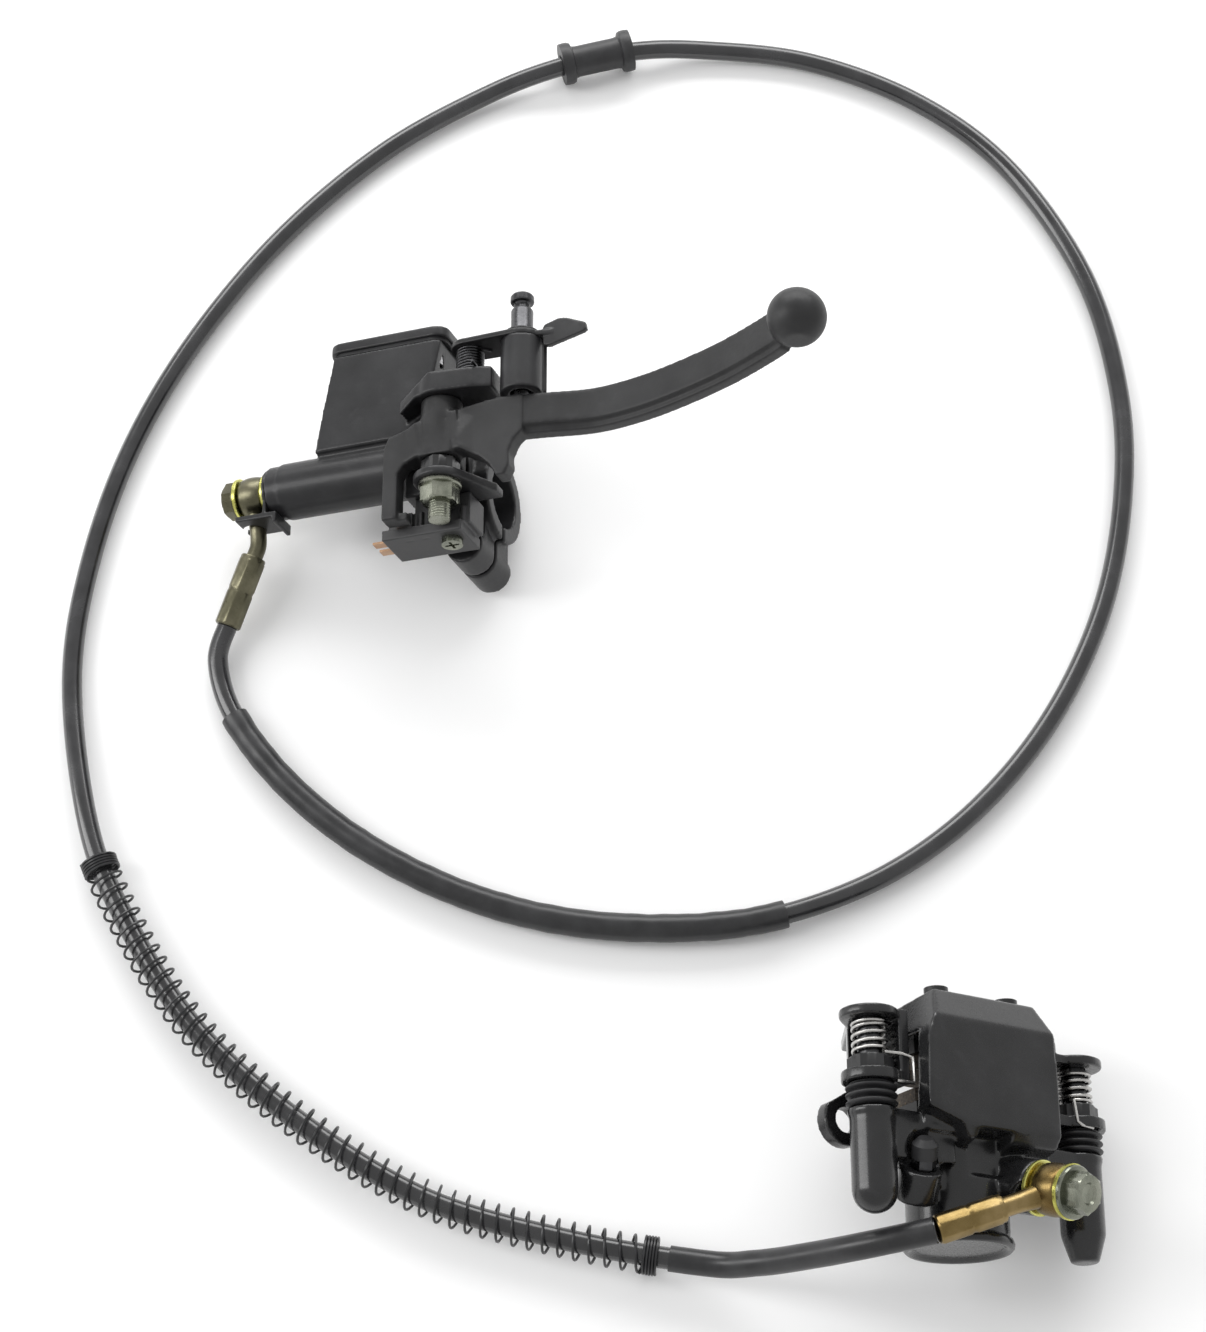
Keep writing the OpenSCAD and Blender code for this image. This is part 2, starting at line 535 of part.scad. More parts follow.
// Caliper, in its own frame: Y along the piston, Z out of the bridge, Y = 0 at the cylinder's end
pin_drop = 5;         // the right pin sits this much nearer the cylinder's end
tube_r = 7.4;
bleed_a = [-21.5, 16, 11];
bleed_b = [-25, 27, 18.5];
function pin_at(s) = [s*pin_span + 2, s > 0 ? -pin_drop : 0, pin_w];
module block_side() polygon([[-14, 64], [-14, 76], [19, 79], [25, 68], [25, 34], [22, 30], [12, 27], [18, 40],
  [18, 64]]);
module caliper_body() color(gloss) on_caliper() difference() {
  union() {
    along_y(3, 38, housing_d/2);
    along_y(0, 3, housing_d/2 - 1);
    // bridge and outer fingers, tapered towards the outer end
    intersection() {
      translate([-30, 0, 0]) multmatrix([[0, 0, 1, 0], [0, 1, 0, 0], [1, 0, 0, 0]])
        linear_extrude(60) block_side();
      translate([0, 0, -30]) linear_extrude(70) polygon([[-27, 38], [-26, 62], [-19.5, 79],
        [21, 79], [24.5, 68], [25, 26], [4, 28], [-8, 28], [-14, 34]]);
    }
    // shoulder from the cylinder up to the bridge
    translate([-20, 16, -6]) cube([40, 22, 17]);
    translate([-24, 32, -6]) cube([48, 6, 24]);
    // blind tubes that carry the slide pins, the left one round ended and the right one tapered
    for (s = [-1, 1]) translate(pin_at(s)) {
      along_y(12, 38, tube_r);
      along_y(36, 38, tube_r + 0.6);
      translate([s > 0 ? -28 : 0, 22, -8]) cube([28, 16, 14]);
    }
    translate(pin_at(-1)) translate([0, 12, 0]) sphere(r = tube_r);
    translate(pin_at(1)) rotate([-90, 0, 0]) translate([0, 0, 3]) cylinder(r1 = 4.6, r2 = tube_r, h = 9.2);
    caliper_boss();
    from_to(bleed_a - [0, 4, 4], bleed_b) cylinder(r = 7, h = 11);
  }
  along_y(8, 60, piston_d/2 + run_gap);
  translate([-22, 38, -40]) cube([44, 26, 57]);
  for (s = [-1, 1]) translate(pin_at(s)) along_y(9, 50, slide_d/2 + run_gap);
  translate([-7, 20, 15]) cube([13, 13, 20]);
  for (s = [-1, 1]) translate([s*14, 0, 13]) along_y(20, 82, 2.5);
  from_to(bleed_a, bleed_b) translate([0, 0, -3]) cylinder(r = 3, h = 9);
  from_to(bleed_a - [0, 4, 4], bleed_b) translate([0, 0, 11]) cylinder(r = 5.4, h = 16);
  along_y(30, 32.4, piston_d/2 + 1.6);
  along_y(35.4, 38.5, piston_d/2 + 1.6);
  off_caliper() {
    on_low_bolt() translate([0, 0, -16]) cylinder(r = 5, h = 20);
    on_low_bolt() translate([0, 0, -6.9]) cylinder(r = 9.6, h = 25);
    from_to(low_eye, low_crimp_b) cylinder(r = crimp_d/2 + 1, h = 60);
  }
}
// Drawn on the table, seen from the caliper's frame
module off_caliper() { rotate([0, -cal_roll, 0]) translate(-cal_at) children(); }
module caliper_boss() { off_caliper() on_low_bolt() translate([0, 0, -22]) cylinder(r = 9, h = 15.1); }
module caliper_piston() color(steel) on_caliper() difference() {
  along_y(10, piston_face, piston_d/2);
  along_y(14, piston_face + 1, piston_d/2 - 3);
}
module piston_seal() color(rubber) on_caliper() difference() {
  along_y(30, 32.4, piston_d/2 + 1.6);
  along_y(29, 34, piston_d/2 + 0.02);
}
module dust_seal() color(rubber) on_caliper() difference() {
  along_y(35.4, 38, piston_d/2 + 1.6);
  along_y(34, 40, piston_d/2 + 0.02);
}
module pad_outline() difference() {
  union() {
    polygon([[-20, -13], [20, -13], [20, 8], [16.5, 16.4], [-16.5, 16.4], [-20, 8]]);
  }
  for (s = [-1, 1]) translate([s*14, 13]) circle(r = 2.5 + run_gap);
}
module lining_outline() polygon([[-19, -12], [19, -12], [19, 6], [15, 9.5], [-15, 9.5], [-19, 6]]);
module inner_pad_plate() color(black) on_caliper() slab(inner_face - lining_t - plate_t, inner_face - lining_t) pad_outline();
module inner_pad_lining() color([0.3, 0.28, 0.26]) on_caliper() slab(inner_face - lining_t, inner_face) lining_outline();
module outer_pad_lining() color([0.3, 0.28, 0.26]) on_caliper() slab(outer_face, outer_face + lining_t) lining_outline();
module outer_pad_plate() color(black) on_caliper() slab(outer_face + lining_t, outer_face + lining_t + plate_t) pad_outline();
module pad_pins() color(steel) on_caliper() for (s = [-1, 1]) translate([s*14, 0, 13]) {
  along_y(24, 79, 2.5);
  along_y(79, 81, 4);
}
module pad_spring() color(steel) on_caliper() difference() {
  translate([-17, 44, 16.45]) cube([34, 16, 0.5]);
  translate([-11, 47, 16]) cube([22, 10, 2]);
}

// Bracket that stays on the axle and carries the pins: an ear and a flange hold each pin
module caliper_bracket() color(black) on_caliper() difference() {
  union() {
    slab(67, 71) polygon([[-46.5, 11], [-31.5, 11], [-27.3, -14.6], [26.8, -14.6], [28, 4], [28.6, 11], [36, 11],
      [36, -8], [28, -18], [22, -22], [12, -22.5], [-36, -22.5], [-42, -20], [-47, -6]]);
    for (s = [-1, 1]) translate(pin_at(s)) {
      along_y(67.5, 70.5, 9.6);
      along_y(46.3, 50, 9.6);
      translate([s > 0 ? -15.2 : 7.5, 46.3, -6]) cube([3.9, s > 0 ? 29.7 : 24.7, 12]);
      translate([s > 0 ? -12 : 4, 46.3, -6]) cube([7.4, 3.7, 12]);
      translate([s > 0 ? -12 : 4, 67.5, -6]) cube([7.4, 3, 12]);
    }
    // lugs that bolt to the axle carrier
    for (q = lugs) translate([0, 0, -6]) {
      translate([q[0], q[1], 0]) cylinder(r = 8.5, h = 5);
      translate([q[0] - 7, q[1], 0]) cube([14, 71 - q[1], 5]);
    }
    translate([28, 67, -6]) cube([q_right, 4, 5]);
  }
  for (s = [-1, 1]) translate(pin_at(s)) along_y(40, 75, slide_d/2);
  for (q = lugs) translate([q[0], q[1], -10]) cylinder(r = 4.2, h = 12);
}
lugs = [[-41, 37], [43, 44]];
q_right = 22;
module slide_pins() color(steel) on_caliper() for (s = [-1, 1]) translate(pin_at(s)) along_y(12.5, 70.5, slide_d/2);
module pin_nuts() color(black) on_caliper() for (s = [-1, 1]) translate(pin_at(s))
  rotate([-90, 0, 0]) translate([0, 0, 50]) difference() {
    hex(13, 5);
    translate([0, 0, -1]) cylinder(r = slide_d/2, h = 8);
  }
module pin_spring(s) translate(pin_at(s))
  for (i = [0 : 4]) translate([0, 56 + i*2.5, 0]) rotate([90, 0, 0]) torus(slide_d/2 + 1.5, 0.7);
module left_pin_spring() color(steel) on_caliper() pin_spring(-1);
module right_pin_spring() color(steel) on_caliper() pin_spring(1);
module bellows(s) translate(pin_at(s)) rotate([-90, 0, 0]) translate([0, 0, 38.3])
  rotate_extrude() polygon([[slide_d/2 + 0.1, 0], [7.6, 0], [8.4, 0.8], [6.8, 1.9], [8.4, 3], [6.8, 4.1], [8.4, 5.2],
    [6.8, 6.3], [7.4, 7], [slide_d/2 + 0.1, 7.7]]);
module left_bellows() color(rubber) on_caliper() bellows(-1);
module right_bellows() color(rubber) on_caliper() bellows(1);
module bleed_screw() color(steel) on_caliper() from_to(bleed_a, bleed_b) {
  translate([0, 0, -3]) cylinder(r = 3, h = 9.1);
  translate([0, 0, 6]) hex(7, 3);
  translate([0, 0, 9]) cylinder(r = 2.6, h = 4);
}
module bleed_cap() color(rubber) on_caliper() from_to(bleed_a, bleed_b) translate([0, 0, 9]) difference() {
  union() {
    cylinder(r = 4.2, h = 4.5);
    translate([0, 0, 4.5]) cylinder(r1 = 4.2, r2 = 2.4, h = 2);
  }
  translate([0, 0, -1]) cylinder(r = 2.6, h = 5);
}

master_body();
reservoir_cap();
reservoir_diaphragm();
cap_screws();
bar_clamp();
clamp_bolts();
brake_lever();
pivot_bolt();
pivot_nut();
pivot_lock_nut();
pivot_bush();
master_piston();
primary_cup();
secondary_cup();
piston_return_spring();
piston_circlip();
switch_body();
switch_plunger();
switch_screw();
switch_terminals();
parking_arm();
parking_spring();
parking_barrel();
parking_pin();
parking_pin_spring();
upper_banjo_bolt();
upper_washers();
upper_banjo();
hose_bracket();
upper_crimp();
brake_hose();
hose_sleeve();
hose_grommet();
hose_spring_guard();
guard_collars();
hose_end_sleeve();
lower_crimp();
lower_banjo();
lower_washers();
lower_banjo_bolt();
caliper_body();
caliper_piston();
piston_seal();
dust_seal();
inner_pad_plate();
inner_pad_lining();
outer_pad_plate();
outer_pad_lining();
pad_pins();
pad_spring();
caliper_bracket();
slide_pins();
pin_nuts();
left_pin_spring();
right_pin_spring();
left_bellows();
right_bellows();
bleed_screw();
bleed_cap();
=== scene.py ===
import math
import json
import bpy
import bmesh
from mathutils import Vector, Matrix, noise

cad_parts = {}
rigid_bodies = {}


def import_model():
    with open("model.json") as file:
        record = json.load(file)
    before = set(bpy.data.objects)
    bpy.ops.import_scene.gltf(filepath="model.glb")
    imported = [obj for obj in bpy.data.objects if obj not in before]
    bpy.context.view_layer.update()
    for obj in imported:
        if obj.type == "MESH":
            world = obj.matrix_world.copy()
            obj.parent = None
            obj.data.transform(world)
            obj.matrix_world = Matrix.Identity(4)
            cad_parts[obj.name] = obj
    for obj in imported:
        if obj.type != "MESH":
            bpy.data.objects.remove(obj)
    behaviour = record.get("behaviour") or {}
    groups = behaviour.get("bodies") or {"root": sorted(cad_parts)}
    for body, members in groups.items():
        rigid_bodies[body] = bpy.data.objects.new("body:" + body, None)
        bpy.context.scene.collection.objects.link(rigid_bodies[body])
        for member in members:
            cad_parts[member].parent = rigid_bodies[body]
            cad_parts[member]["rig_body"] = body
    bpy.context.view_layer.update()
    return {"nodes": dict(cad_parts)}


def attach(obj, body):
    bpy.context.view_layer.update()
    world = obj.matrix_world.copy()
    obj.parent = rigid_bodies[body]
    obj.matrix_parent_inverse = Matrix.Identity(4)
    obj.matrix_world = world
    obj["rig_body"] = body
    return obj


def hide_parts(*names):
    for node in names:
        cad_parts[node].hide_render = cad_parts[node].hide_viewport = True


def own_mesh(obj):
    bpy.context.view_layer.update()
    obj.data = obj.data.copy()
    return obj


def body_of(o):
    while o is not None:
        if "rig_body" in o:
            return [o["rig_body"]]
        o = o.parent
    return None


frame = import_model()
nodes = frame["nodes"]
mm = 0.001

# Camera and light
camera = {"elevation": 66, "lens": 80, "distance": 1.066, "target": (-0.013, 0.053, 0.0)}
studio = {"floor": (0.95, 0.95, 0.95), "world": 0.72, "softboxPower": 14.0}


def addCamera():
    data = bpy.data.cameras.new("camera")
    data.lens = camera["lens"]
    data.sensor_width = 36
    data.clip_start = 0.05
    data.clip_end = 20
    cam = bpy.data.objects.new("camera", data)
    tilt = math.radians(camera["elevation"])
    away = Vector((0, -math.cos(tilt), math.sin(tilt)))
    cam.location = Vector(camera["target"]) + away * camera["distance"]
    cam.rotation_euler = (math.radians(90) - tilt, 0, 0)
    bpy.context.scene.collection.objects.link(cam)
    bpy.context.scene.camera = cam


addCamera()
print("camera ready")


# Shader maths: a value wraps a socket, and the operators add Math nodes
class Value:
    def __init__(self, finish, socket):
        self.finish = finish
        self.socket = socket

    def maths(self, operation, first, second):
        return self.finish.add("ShaderNodeMath", {"operation": operation}, first, second)

    def __add__(self, other):
        return self.maths("ADD", self, other)

    def __sub__(self, other):
        return self.maths("SUBTRACT", self, other)

    def __rsub__(self, other):
        return self.maths("SUBTRACT", other, self)

    def __mul__(self, other):
        return self.maths("MULTIPLY", self, other)

    def __truediv__(self, other):
        return self.maths("DIVIDE", self, other)

    def __pow__(self, other):
        return self.maths("POWER", self, other)

    __radd__ = __add__
    __rmul__ = __mul__


class Finish:
    def __init__(self, name):
        self.material = bpy.data.materials.new(name)
        self.material.use_nodes = True
        self.tree = self.material.node_tree
        self.shader = self.tree.nodes["Principled BSDF"]
        self.place = self.add("ShaderNodeTexCoord", {}, output="Object")

    def add(self, kind, settings, *inputs, output=0, **named):
        node = self.tree.nodes.new(kind)
        stops = settings.pop("stops", None)
        for key, value in settings.items():
            setattr(node, key, value)
        if stops:
            ramp = node.color_ramp.elements
            while len(ramp) < len(stops):
                ramp.new(0.5)
            for element, (at, colour) in zip(ramp, stops):
                element.position = at
                element.color = (*colour, 1) if len(colour) == 3 else colour
        for key, value in list(enumerate(inputs)) + list(named.items()):
            self.feed(node.inputs[key], value)
        return Value(self, node.outputs[output])

    def feed(self, socket, value):
        if isinstance(value, Value):
            self.tree.links.new(value.socket, socket)
        elif isinstance(value, tuple) and len(value) == 3 and socket.type == "RGBA":
            socket.default_value = (*value, 1)
        else:
            socket.default_value = value

    def noise(self, scale, detail=3.0, rough=0.55, at=None):
        return self.add("ShaderNodeTexNoise", {}, Vector=at or self.place, Scale=scale, Detail=detail,
                        Roughness=rough)

    def cells(self, scale, feature="F1", at=None):
        return self.add("ShaderNodeTexVoronoi", {"feature": feature}, Vector=at or self.place, Scale=scale)

    def band(self, value, low, high, toLow=0.0, toHigh=1.0):
        return self.add("ShaderNodeMapRange", {"clamp": True}, value, low, high, toLow, toHigh)

    def ramp(self, value, stops):
        return self.add("ShaderNodeValToRGB", {"stops": stops}, value)

    def mix(self, factor, first, second):
        node = self.tree.nodes.new("ShaderNodeMix")
        node.data_type = "RGBA"
        self.feed(node.inputs[0], factor)
        self.feed(node.inputs[6], first)
        self.feed(node.inputs[7], second)
        return Value(self, node.outputs[2])

    def stretched(self, factors):
        return self.add("ShaderNodeMapping", {}, Vector=self.place, Scale=factors)

    def bump(self, height, depth, strength=1.0):
        node = self.tree.nodes.new("ShaderNodeBump")
        node.inputs["Distance"].default_value = depth
        node.inputs["Strength"].default_value = strength
        self.feed(node.inputs["Height"], height)
        self.tree.links.new(node.outputs[0], self.shader.inputs["Normal"])

    def set(self, **values):
        for key, value in values.items():
            self.feed(self.shader.inputs[key.replace("_", " ")], value)
        return self


def castPaint(name, base, rough, grain, coat):
    f = Finish(name)
    cloud = f.noise(38, 4)
    fine = f.noise(900, 3)
    peel = f.noise(420, 2, 0.4)
    dust = f.band(f.noise(150, 6, 0.7), 0.56, 0.78)
    lighter = tuple(min(1, 1.9 * v + 0.006) for v in base)
    colour = f.mix(f.band(cloud, 0.35, 0.75), base, lighter)
    f.set(Base_Color=f.mix(dust * 0.09, colour, (0.1, 0.1, 0.105)),
          Roughness=f.band(cloud * 0.5 + fine * 0.5, 0.3, 0.7, rough - 0.07, rough + 0.09) + dust * 0.08,
          Specular_IOR_Level=0.32, Coat_Weight=coat, Coat_Roughness=0.16)
    f.bump(peel * 0.75 + fine * 0.25, grain)
    return f.material


def plated(name, low, mid, high, rough, metal=1.0, drift=60):
    f = Finish(name)
    patch = f.noise(drift, 5, 0.6)
    streak = f.noise(700, 2, at=f.stretched((1, 1, 6)))
    tint = f.ramp(patch, [(0.3, low), (0.5, mid), (0.72, high)])
    stain = f.band(f.noise(240, 6, 0.75), 0.58, 0.8)
    f.set(Base_Color=f.mix(stain * 0.45, tint, tuple(0.4 * v for v in low)),
          Metallic=metal, Roughness=f.band(streak * 0.6 + patch * 0.4, 0.3, 0.7, rough - 0.08, rough + 0.12))
    f.bump(streak * 0.5 + f.noise(1500, 2) * 0.5, 0.00003)
    return f.material


def moulded(name, base, rough, grain=0.00003, scale=700):
    f = Finish(name)
    bloom = f.noise(90, 5, 0.65)
    pore = f.noise(scale, 4, 0.6)
    scuff = f.band(f.noise(260, 6, 0.8), 0.6, 0.82)
    pale = tuple(min(1, v * 2.2 + 0.012) for v in base)
    f.set(Base_Color=f.mix(f.band(bloom, 0.4, 0.8) * 0.6 + scuff * 0.2, base, pale),
          Roughness=f.band(bloom, 0.3, 0.7, rough - 0.06, rough + 0.08) + scuff * 0.1)
    f.bump(pore, grain)
    return f.material


def hoseSkin():
    f = Finish("hoseSkin")
    bloom = f.noise(70, 5, 0.6)
    fine = f.noise(1600, 2)
    f.set(Base_Color=f.mix(f.band(bloom, 0.35, 0.75), (0.010, 0.010, 0.011), (0.028, 0.028, 0.03)),
          Roughness=f.band(bloom, 0.3, 0.7, 0.2, 0.3), Coat_Weight=0.5, Coat_Roughness=0.12)
    f.bump(fine, 0.00002)
    return f.material


def lining():
    f = Finish("frictionLining")
    grit = f.cells(900)
    flake = f.band(f.noise(500, 4, 0.8), 0.6, 0.66)
    body = f.mix(f.band(grit, 0.0, 0.6), (0.045, 0.038, 0.033), (0.13, 0.11, 0.09))
    f.set(Base_Color=f.mix(flake, body, (0.42, 0.30, 0.16)), Roughness=f.band(grit, 0, 1, 0.7, 0.95))
    f.bump(grit, 0.00012)
    return f.material


looks = {
    "satinCast": castPaint("satinCast", (0.009, 0.009, 0.0098), 0.38, 0.00003, 0.1),
    "glossCast": castPaint("glossCast", (0.005, 0.005, 0.0055), 0.26, 0.00003, 0.45),
    "leverPaint": castPaint("leverPaint", (0.012, 0.012, 0.0125), 0.46, 0.00004, 0.0),
    "blackPlate": castPaint("blackPlate", (0.009, 0.009, 0.0095), 0.34, 0.00002, 0.15),
    "rubber": moulded("rubber", (0.010, 0.010, 0.011), 0.44),
    "plastic": moulded("plastic", (0.020, 0.020, 0.021), 0.46, 0.00004, 500),
    "hoseSkin": hoseSkin(),
    "sleeveVinyl": moulded("sleeveVinyl", (0.012, 0.012, 0.013), 0.34, 0.00002, 300),
    "wireBlack": moulded("wireBlack", (0.009, 0.009, 0.010), 0.33, 0.00001, 900),
    "springSteel": plated("springSteel", (0.42, 0.41, 0.40), (0.55, 0.54, 0.52), (0.66, 0.65, 0.63), 0.28),
    "zinc": plated("zinc", (0.15, 0.16, 0.13), (0.26, 0.27, 0.22), (0.42, 0.42, 0.36), 0.25),
    "olivePlate": plated("olivePlate", (0.07, 0.066, 0.042), (0.125, 0.118, 0.078), (0.22, 0.205, 0.14), 0.32),
    "brassPlate": plated("brassPlate", (0.13, 0.085, 0.03), (0.21, 0.15, 0.06), (0.34, 0.25, 0.12), 0.3),
    "yellowZinc": plated("yellowZinc", (0.44, 0.42, 0.10), (0.60, 0.59, 0.17), (0.74, 0.73, 0.34), 0.26),
    "darkSteel": plated("darkSteel", (0.035, 0.035, 0.037), (0.07, 0.07, 0.073), (0.12, 0.12, 0.125), 0.27),
    "steel": plated("steel", (0.33, 0.33, 0.34), (0.46, 0.46, 0.47), (0.58, 0.58, 0.59), 0.3),
    "lining": lining(),
    "copper": plated("copper", (0.30, 0.17, 0.10), (0.42, 0.26, 0.16), (0.55, 0.38, 0.26), 0.32),
}
print("finishes ready", len(looks))


def dress(thing, look):
    thing.data.materials.clear()
    thing.data.materials.append(looks[look])


def shadeSmooth(mesh, angle=None):
    mesh.polygons.foreach_set("use_smooth", [True] * len(mesh.polygons))
    if angle is not None:
        bm = bmesh.new()
        bm.from_mesh(mesh)
        limit = math.radians(angle)
        for edge in bm.edges:
            if len(edge.link_faces) == 2 and edge.calc_face_angle(0) > limit:
                edge.smooth = False
        bm.to_mesh(mesh)
        bm.free()


def makeObject(name, points, faces, look, smooth=40):
    mesh = bpy.data.meshes.new(name)
    mesh.from_pydata([tuple(p) for p in points], [], faces)
    mesh.update()
    thing = bpy.data.objects.new(name, mesh)
    bpy.context.scene.collection.objects.link(thing)
    shadeSmooth(mesh, smooth)
    dress(thing, look)
    return thing


def standFor(thing, *names):
    node = nodes[names[0]]
    body = body_of(node)
    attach(thing, body if isinstance(body, str) else body[0])
    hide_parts(*names)
    return thing


# The two halves have tilted frames of their own
masterFrame = {"at": (-127, 112, 21.7), "tilt": -20}
caliperFrame = {"at": (101, -165.5, 32), "tilt": 30}


def frameMatrix(values):
    turn = Matrix.Rotation(math.radians(values["tilt"]), 4, "Y")
    return Matrix.Scale(mm, 4) @ Matrix.Translation(values["at"]) @ turn


onMaster = frameMatrix(masterFrame)
onCaliper = frameMatrix(caliperFrame)
onTable = Matrix.Scale(mm, 4)


def axisFrame(origin, axis, across=(0, 0, 1)):
    z = Vector(axis).normalized()
    x = Vector(across) - z * z.dot(Vector(across))
    if x.length < 0.05:
        x = Vector((1, 0, 0)) - z * z.x
    x.normalize()
    turn = Matrix((x, z.cross(x), z)).transposed().to_4x4()
    return Matrix.Translation(origin) @ turn


def sweepMesh(points, radius, sides, closed=True):
    verts, faces = [], []
    side = None
    count = len(points)
    for i, p in enumerate(points):
        t = (points[min(i + 1, count - 1)] - points[max(i - 1, 0)]).normalized()
        if side is None:
            side = t.cross(Vector((0, 0, 1)))
            if side.length < 0.1:
                side = t.cross(Vector((0, 1, 0)))
        side = (side - t * side.dot(t)).normalized()
        up = t.cross(side)
        r = radius(i) if callable(radius) else radius
        for k in range(sides):
            angle = 2 * math.pi * k / sides
            verts.append(p + (side * math.cos(angle) + up * math.sin(angle)) * r)
        if i:
            a = (i - 1) * sides
            for k in range(sides):
                n = (k + 1) % sides
                faces.append((a + k, a + n, a + sides + n, a + sides + k))
    if closed:
        faces.append(tuple(range(sides - 1, -1, -1)))
        faces.append(tuple((count - 1) * sides + k for k in range(sides)))
    return verts, faces


def sweep(name, points, radius, sides, look, smooth=50):
    verts, faces = sweepMesh(points, radius, sides)
    return makeObject(name, [v * mm for v in verts], faces, look, smooth)


def flatLimit(angle, acrossFlats, sides=6):
    part = 2 * math.pi / sides
    return acrossFlats / 2 / math.cos((angle % part) - part / 2)


def latheMesh(profile, segments=40):
    verts, faces = [], []
    for row in profile:
        for k in range(segments):
            angle = 2 * math.pi * k / segments
            r = row[0]
            if len(row) > 2:
                r = min(r, flatLimit(angle, row[2], row[3] if len(row) > 3 else 6))
            verts.append(Vector((r * math.cos(angle), r * math.sin(angle), row[1])))
    rows = len(profile)
    for i in range(rows - 1):
        for k in range(segments):
            n = (k + 1) % segments
            faces.append((i * segments + k, i * segments + n, (i + 1) * segments + n, (i + 1) * segments + k))
    if profile[0] != profile[-1]:
        faces.append(tuple(range(segments - 1, -1, -1)))
        faces.append(tuple((rows - 1) * segments + k for k in range(segments)))
    return verts, faces


def lathe(name, profile, matrix, origin, axis, look, segments=48, smooth=35):
    verts, faces = latheMesh(profile, segments)
    place = matrix @ axisFrame(origin, axis)
    return makeObject(name, [place @ v for v in verts], faces, look, smooth)


def joined(name, parts, look, smooth=50):
    verts, faces = [], []
    for v, f in parts:
        faces += [tuple(k + len(verts) for k in face) for face in f]
        verts += v
    return makeObject(name, verts, faces, look, smooth)


def helixPoints(radius, start, pitches, steps=24, turn=0.0):
    points, z, angle = [], start, turn
    for pitch in pitches:
        for k in range(steps):
            points.append(Vector((radius * math.cos(angle), radius * math.sin(angle), z)))
            z += pitch / steps
            angle += 2 * math.pi / steps
    points.append(Vector((radius * math.cos(angle), radius * math.sin(angle), z)))
    return points


def coil(name, matrix, origin, axis, spring, look, legs=((), ()), across=(0, 0, 1)):
    place = matrix @ axisFrame(origin, axis, across)
    points = helixPoints(spring["radius"], spring["start"], spring["pitches"], 24, spring.get("turn", 0.0))
    points = [Vector(p) for p in legs[0]] + points + [Vector(p) for p in legs[1]]
    return sweep(name, [(place @ p) / mm for p in points], spring["wire"], 8, look)


# Hose: the same route as the solids, in metres
hose = {"diameter": 0.0074, "sides": 12, "ribPitch": 1.15, "ribDepth": 0.06, "fine": 16}
route = [
    (-0.148, 0.065, 0.008), (-0.151, 0.052, 0.0055), (-0.144, 0.031, 0.005), (-0.124, 0.005, 0.005),
    (-0.096, -0.018, 0.005), (-0.061, -0.036, 0.005), (-0.024, -0.046, 0.005), (0.016, -0.048, 0.005),
    (0.050, -0.043, 0.005), (0.086, -0.028, 0.004), (0.118, -0.004, 0.004), (0.146, 0.030, 0.004),
    (0.167, 0.072, 0.004), (0.178, 0.117, 0.004), (0.180, 0.163, 0.004), (0.170, 0.214, 0.004),
    (0.144, 0.262, 0.004), (0.110, 0.293, 0.004), (0.068, 0.312, 0.004), (0.026, 0.317, 0.005),
    (-0.002, 0.314, 0.0082), (-0.029, 0.307, 0.0082), (-0.058, 0.296, 0.005), (-0.098, 0.270, 0.004),
    (-0.136, 0.231, 0.004), (-0.167, 0.185, 0.004), (-0.188, 0.139, 0.004), (-0.200, 0.091, 0.004),
    (-0.203, 0.045, 0.004), (-0.193, -0.010, 0.007), (-0.178, -0.045, 0.007), (-0.152, -0.084, 0.007),
    (-0.116, -0.116, 0.007), (-0.072, -0.143, 0.007), (-0.024, -0.157, 0.007), (0.020, -0.165, 0.009),
    (0.037, -0.167, 0.018), (0.053, -0.168, 0.033), (0.070, -0.168, 0.048), (0.0916, -0.1649, 0.055),
]


def smoothPath(points, steps):
    out = []
    last = len(points) - 1
    for i in range(last):
        a, b = points[max(i - 1, 0)], points[i]
        c, d = points[i + 1], points[min(i + 2, last)]
        for k in range(steps):
            t = k / steps
            out.append(0.5 * (2 * b + (c - a) * t + (2 * a - 5 * b + 4 * c - d) * t * t
                              + (3 * b - a - 3 * c + d) * t * t * t))
    out.append(points[last])
    return out


midline = smoothPath([Vector(p) / mm for p in route], hose["fine"])
reach = [0.0]
for here, before in zip(midline[1:], midline[:-1]):
    reach.append(reach[-1] + (here - before).length)
hoseLength = reach[-1]


def atRoute(index):
    return reach[round(index * hose["fine"])]


def along(distance):
    low, high = 0, len(reach) - 1
    while high - low > 1:
        middle = (low + high) // 2
        low, high = (middle, high) if reach[middle] <= distance else (low, middle)
    t = (distance - reach[low]) / (reach[high] - reach[low])
    return midline[low].lerp(midline[high], t)


def stretch(start, end, step):
    count = max(2, round((end - start) / step))
    return [along(start + (end - start) * i / count) for i in range(count + 1)]


def addHose():
    step = hose["ribPitch"] / 2
    points = stretch(0, hoseLength, step)

    def radius(i):
        return 500 * hose["diameter"] - (i % 2) * hose["ribDepth"]
    piece = sweep("brakeHose", points, radius, hose["sides"], "hoseSkin", None)
    standFor(piece, "brake_hose")
    return piece


brakeHose = addHose()
print("hose length", round(hoseLength, 1), "mm")


# What lies on the hose
guard = {"wire": 0.48, "radius": 5.95, "pitch": 5.2, "closedTurns": 5}


